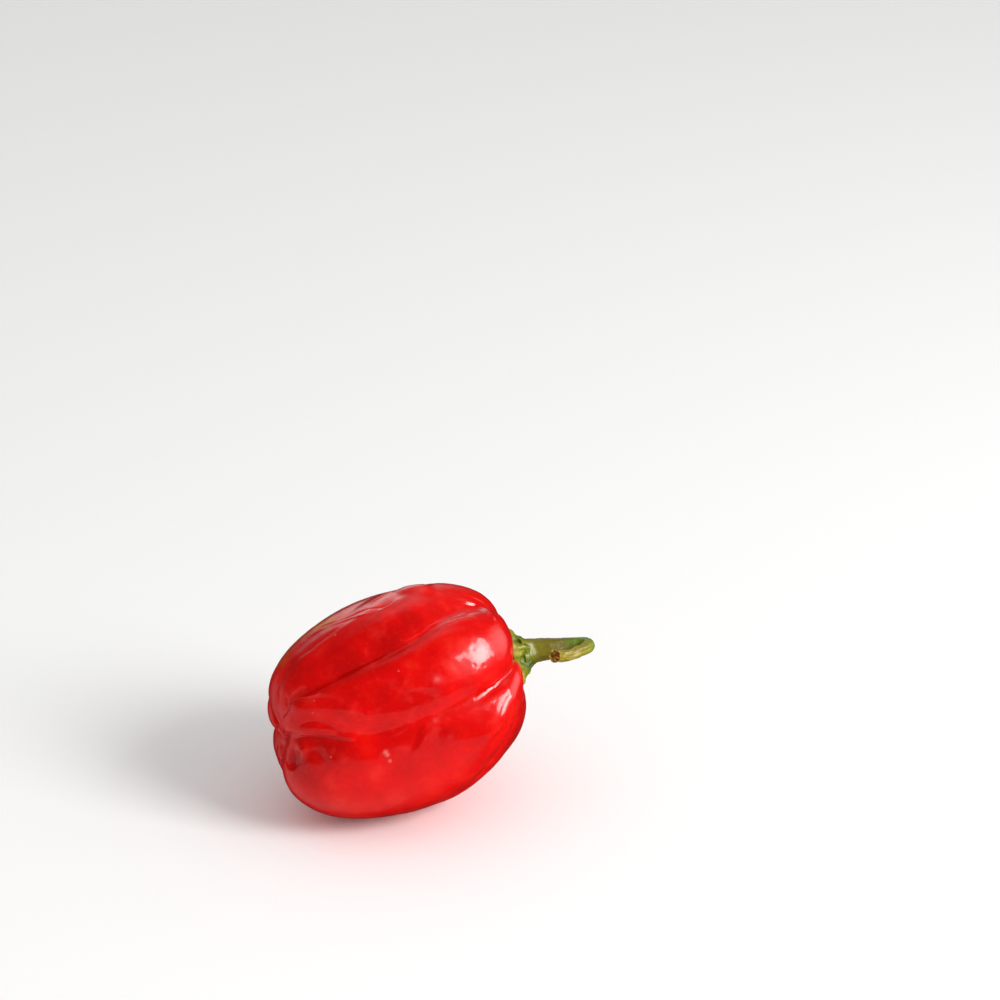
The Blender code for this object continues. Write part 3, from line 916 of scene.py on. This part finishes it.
# %% Mark the stem's fibres and wrinkle it along them
FIBRE_LENGTHS = 14.0
FIBRES_ROUND = 2.4
WRINKLE_FRESH_MM = 0.05
WRINKLE_DRY_MM = 0.2
DRYING_FROM = 0.6
DRYING_OVER = 0.25
CUT_FROM = 0.97
CUT_HOLLOW_MM = 1.3
CUT_EDGE_MM = 0.2
route_line = smooth_line([STEM_BASE + Vector(p) * MM for p in STEM_PATH_MM])
route_steps = np.gradient(route_line, axis=0)
step_lengths = np.linalg.norm(route_steps, axis=1, keepdims=True)
places, normals = arrays_of(stem)
nearest = np.linalg.norm(places[:, None, :] - route_line[None, :, :], axis=2).argmin(1)
gap = places - route_line[nearest]
ahead = (route_steps / step_lengths)[nearest]
onward = (gap * ahead).sum(1)
step_share = np.clip(onward / step_lengths[nearest, 0], -0.5, 0.5)
share_along = np.clip((nearest + step_share) / (len(route_line) - 1), 0, 1)
upward = np.array((0.0, 0.0, 1.0)) - ahead * ahead[:, 2:3]
sideways = np.cross(ahead, upward)
turn = np.arctan2((gap * sideways).sum(1), (gap * upward).sum(1))
fibre_place = np.stack(
    [np.cos(turn) * FIBRES_ROUND, np.sin(turn) * FIBRES_ROUND, share_along * FIBRE_LENGTHS], 1)
out_mm = np.linalg.norm(gap - ahead * onward[:, None], axis=1) / MM
share_broken = fade((CUT_HOLLOW_MM - out_mm) / CUT_EDGE_MM) * (share_along > CUT_FROM)
dryness = fade((share_along - DRYING_FROM) / DRYING_OVER)
wrinkle_mm = WRINKLE_FRESH_MM + (WRINKLE_DRY_MM - WRINKLE_FRESH_MM) * dryness
for i, point in enumerate(fibre_place):
    places[i] += normals[i] * noise.noise(Vector(point)) * wrinkle_mm[i] * (1 - share_broken[i]) * MM
move_points(stem, places)
mark(stem, "along", share_along)
mark(stem, "broken", share_broken)
mark(stem, "fibre", fibre_place)

# %% [markdown]
# ## Green stalk
#
# A fresh stalk is satin green. Towards the break it goes olive and yellow, dries in straw-coloured patches
# between its fibres, and at the cut it is corky brown. The olive-brown on the far side of the hook is partly
# the stalk's own browning and partly painted shade, where that side lies behind the near branch. The three
# colours are mixed by the marks.

# %% Mix the stem
STALK_CLOUD_MM = 2.0
CRUMB_MM = 0.7
STALK_GRAIN_MM = 0.45
STALK_GRAIN_HEIGHT_MM = 0.1
stalk, shader = new_material("fresh_green_stalk")
where = add(stalk, "ShaderNodeTexCoord").outputs["Object"]
along = add(stalk, "ShaderNodeAttribute", attribute_name="along")
fibre = add(stalk, "ShaderNodeAttribute", attribute_name="fibre")
broken = add(stalk, "ShaderNodeAttribute", attribute_name="broken")
cloud = add(stalk, "ShaderNodeTexNoise", {"Vector": where, "Scale": per_mm(STALK_CLOUD_MM), "Detail": 4.0})
strand = add(stalk, "ShaderNodeTexNoise", {"Vector": fibre.outputs["Vector"], "Scale": 1.0, "Detail": 4.0})
mixed = add(stalk, "ShaderNodeMath", {0: cloud.outputs["Fac"], 1: strand.outputs["Fac"]}, operation="ADD")
shifted = add(stalk, "ShaderNodeMath", {0: mixed.outputs["Value"], 1: 0.22, 2: along.outputs["Fac"]},
              operation="MULTIPLY_ADD")
# Partly painted shade: the olive-brown stops in the middle darken the far side of the hook, which lies behind
# the near branch.
green = add(stalk, "ShaderNodeValToRGB", {"Fac": shifted.outputs["Value"]},
            stops=[(0.15, "#6C8000"), (0.4, "#787600"), (0.6, "#685C00"), (0.72, "#5C7808"),
                   (0.82, "#6E7E10"), (0.91, "#82800E"), (1.0, "#8A7A16")])
dry_end = add(stalk, "ShaderNodeMapRange",
              {"Value": along.outputs["Fac"], "From Min": 0.72, "From Max": 0.85})
patch = add(stalk, "ShaderNodeValToRGB", {"Fac": strand.outputs["Fac"]}, stops=[(0.5, 0.0), (0.68, 1.0)])
patch_share = add(stalk, "ShaderNodeMath", {0: patch.outputs["Color"], 1: dry_end.outputs["Result"]},
                  operation="MULTIPLY")
drying = add(stalk, "ShaderNodeMix", {0: patch_share.outputs["Value"], 6: green.outputs["Color"],
                                      7: linear("#C2AE5C")}, data_type="RGBA")
crumb = add(stalk, "ShaderNodeTexNoise", {"Vector": where, "Scale": per_mm(CRUMB_MM), "Detail": 3.0})
cork = add(stalk, "ShaderNodeValToRGB", {"Fac": crumb.outputs["Fac"]},
           stops=[(0.35, "#3A2406"), (0.5, "#7A5410"), (0.62, "#B48E48"), (0.75, "#D6BC84")])
colour = add(stalk, "ShaderNodeMix", {0: broken.outputs["Fac"], 6: drying.outputs[2],
                                      7: cork.outputs["Color"]}, data_type="RGBA")
stalk.node_tree.links.new(colour.outputs[2], shader.inputs["Base Color"])

# %% Give the stalk its grain and its satin
grain = add(stalk, "ShaderNodeTexNoise", {"Vector": where, "Scale": per_mm(STALK_GRAIN_MM), "Detail": 3.0})
rough = add(stalk, "ShaderNodeMath", {0: grain.outputs["Fac"], 1: strand.outputs["Fac"]}, operation="ADD")
bump = add(stalk, "ShaderNodeBump",
           {"Height": rough.outputs["Value"], "Strength": 0.7, "Distance": STALK_GRAIN_HEIGHT_MM * MM})
stalk.node_tree.links.new(bump.outputs["Normal"], shader.inputs["Normal"])
set_even(shader, {"Roughness": 0.42, "IOR": 1.42, "Specular IOR Level": 0.3})
stem.data.materials.append(stalk)
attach(stem, "root")
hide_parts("stem")

# %% [markdown]
# ## The table
#
# The pepper lies on white paper. A large plane is enough, matt and almost white. It is left out of the
# reflections, where the room's own brightness below the horizon stands in for it.

# %% Lay the floor
FLOOR_SIZE = 12.0
bpy.ops.object.select_all(action="DESELECT")
bpy.ops.mesh.primitive_plane_add(size=FLOOR_SIZE, location=(0, 0, 0))
floor = bpy.context.object
floor.name = "white_sheet"
paper, shader = new_material("white_paper")
set_even(shader, {"Base Color": linear("#FEFEFD"), "Roughness": 0.9})
floor.data.materials.append(paper)
floor.visible_glossy = False

# %% [markdown]
# ## The windows
#
# What makes skin look waxy is what it reflects, so light for colour and light for gloss are set apart. A
# soft key light gives the colour and the shadow, and isn't seen in the gloss. A window at the right is seen
# only in the gloss. A smaller, brighter one in its middle makes its highlight fade towards the edge.

# %% Set the lights
LIGHT_DISTANCE = 1.4
KEY_WAY = (0.5, -0.7, 0.5)
WINDOW_WAY = (0.72, -0.43, 0.545)


def soft_light(name, way, size, watts, seen_in_gloss, lights_colour):
    """A square soft light that faces the pod. It shows in the skin's gloss, or lights its colour, or both."""
    lamp = bpy.data.lights.new(name, "AREA")
    lamp.energy = watts
    lamp.size = size
    lamp_object = bpy.data.objects.new(name, lamp)
    bpy.context.scene.collection.objects.link(lamp_object)
    offset = Vector(way).normalized() * LIGHT_DISTANCE
    lamp_object.location = POD_MIDDLE + offset
    lamp_object.rotation_mode = "QUATERNION"
    lamp_object.rotation_quaternion = (-offset).to_track_quat("-Z", "Y")
    lamp_object.visible_glossy = seen_in_gloss
    lamp_object.visible_diffuse = lights_colour
    print(f"{name}: {size} m wide, {watts} W")


soft_light("key", KEY_WAY, size=0.6, watts=16.0, seen_in_gloss=False, lights_colour=True)
soft_light("window", WINDOW_WAY, size=0.72, watts=24.0, seen_in_gloss=True, lights_colour=False)
soft_light("window_middle", WINDOW_WAY, size=0.46, watts=30.0, seen_in_gloss=True, lights_colour=False)

# %% [markdown]
# ## The room
#
# The rest of the room is painted on the world, by the direction that a reflection looks in. The room is
# bright behind the pepper and overhead, where it gives the top edge and the shoulder their pale sheens, and
# it is bright on the far right. Below the horizon lies the white table, which is dark towards one side.

# %% Paint what lies above the horizon
BEHIND_WAY = Vector((0.18, 0.94, 0.28)).normalized()
BEHIND_GLOW = 2.0
BEHIND_TIGHTNESS = 34.0
CEILING_WAY = Vector((0.26, 0.56, 0.79)).normalized()
CEILING_GLOW = 1.2
CEILING_TIGHTNESS = 22.0
DIM_ROOM = 0.02

room = bpy.data.worlds.new("room")
bpy.context.scene.world = room
room.use_nodes = True
direction = add(room, "ShaderNodeTexCoord").outputs["Generated"]

# A dot product is how nearly a reflection looks a way, from -1 to 1.
to_behind = add(room, "ShaderNodeVectorMath", {0: direction, 1: tuple(BEHIND_WAY)}, operation="DOT_PRODUCT")
behind = add(room, "ShaderNodeMapRange", {"Value": to_behind.outputs["Value"]})
glow = add(room, "ShaderNodeMath", {0: behind.outputs["Result"], 1: BEHIND_TIGHTNESS}, operation="POWER")
to_ceiling = add(room, "ShaderNodeVectorMath", {0: direction, 1: tuple(CEILING_WAY)}, operation="DOT_PRODUCT")
overhead = add(room, "ShaderNodeMapRange", {"Value": to_ceiling.outputs["Value"]})
ceiling = add(room, "ShaderNodeMath", {0: overhead.outputs["Result"], 1: CEILING_TIGHTNESS},
              operation="POWER")
ceiling_light = add(room, "ShaderNodeMath", {0: ceiling.outputs["Value"], 1: CEILING_GLOW, 2: DIM_ROOM},
                    operation="MULTIPLY_ADD")
above = add(room, "ShaderNodeMath", {0: glow.outputs["Value"], 1: BEHIND_GLOW,
                                     2: ceiling_light.outputs["Value"]}, operation="MULTIPLY_ADD")

# %% Paint the table's side of the horizon, and the far right
DARK_WAY = (0.82, 0.57, 0.0)
TABLE_GLOW = 0.55
TABLE_DARK = 0.02
SIDE_WAY = Vector((0.95, 0.08, 0.3)).normalized()
SIDE_GLOW = 3.0
HORIZON_BLUR = 0.03

to_dark = add(room, "ShaderNodeVectorMath", {0: direction, 1: DARK_WAY}, operation="DOT_PRODUCT")
below = add(room, "ShaderNodeMapRange", {"Value": to_dark.outputs["Value"], "From Min": -0.15, "From Max": 0.3,
                                         "To Min": TABLE_GLOW, "To Max": TABLE_DARK})
parts = add(room, "ShaderNodeSeparateXYZ", {"Vector": direction})
horizon = add(room, "ShaderNodeMapRange", {"Value": parts.outputs["Z"], "From Min": -HORIZON_BLUR,
                                           "From Max": HORIZON_BLUR})
reflected = add(room, "ShaderNodeMix", {0: horizon.outputs["Result"], 2: below.outputs["Result"],
                                        3: above.outputs["Value"]}, data_type="FLOAT")
to_side = add(room, "ShaderNodeVectorMath", {0: direction, 1: tuple(SIDE_WAY)}, operation="DOT_PRODUCT")
side_glow = add(room, "ShaderNodeMapRange", {"Value": to_side.outputs["Value"], "From Min": 0.93,
                                             "From Max": 1.0, "To Min": 0.0, "To Max": SIDE_GLOW})
gloss = add(room, "ShaderNodeMath", {0: reflected.outputs[0], 1: side_glow.outputs["Result"]},
            operation="ADD")

# %% [markdown]
# ## One room for each kind of ray
#
# Only gloss sees the painted room. Light for colour comes evenly from all sides, and the backdrop is white.
# The Light Path node tells the three apart. The Standard view keeps the red as strong as the picture's.

# %% Join the room's parts
EVEN_LIGHT = 0.6
BACKDROP = 1.0
ray = add(room, "ShaderNodeLightPath")
unseen = add(room, "ShaderNodeMix", {0: ray.outputs["Is Glossy Ray"], 2: EVEN_LIGHT,
                                     3: gloss.outputs["Value"]}, data_type="FLOAT")
brightness = add(room, "ShaderNodeMix", {0: ray.outputs["Is Camera Ray"], 2: unseen.outputs[0],
                                         3: BACKDROP}, data_type="FLOAT")
background = room.node_tree.nodes["Background"]
room.node_tree.links.new(brightness.outputs[0], background.inputs["Strength"])
background.inputs["Color"].default_value = (1, 1, 1, 1)
bpy.context.scene.view_settings.view_transform = "Standard"
print(f"the room is mixed from {len(room.node_tree.nodes)} nodes")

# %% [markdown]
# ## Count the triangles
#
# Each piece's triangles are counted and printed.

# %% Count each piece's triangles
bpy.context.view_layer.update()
for piece in (pod, calyx, stem):
    triangles = sum(len(f.vertices) - 2 for f in piece.data.polygons)
    print(f"{piece.name}: {triangles} triangles")
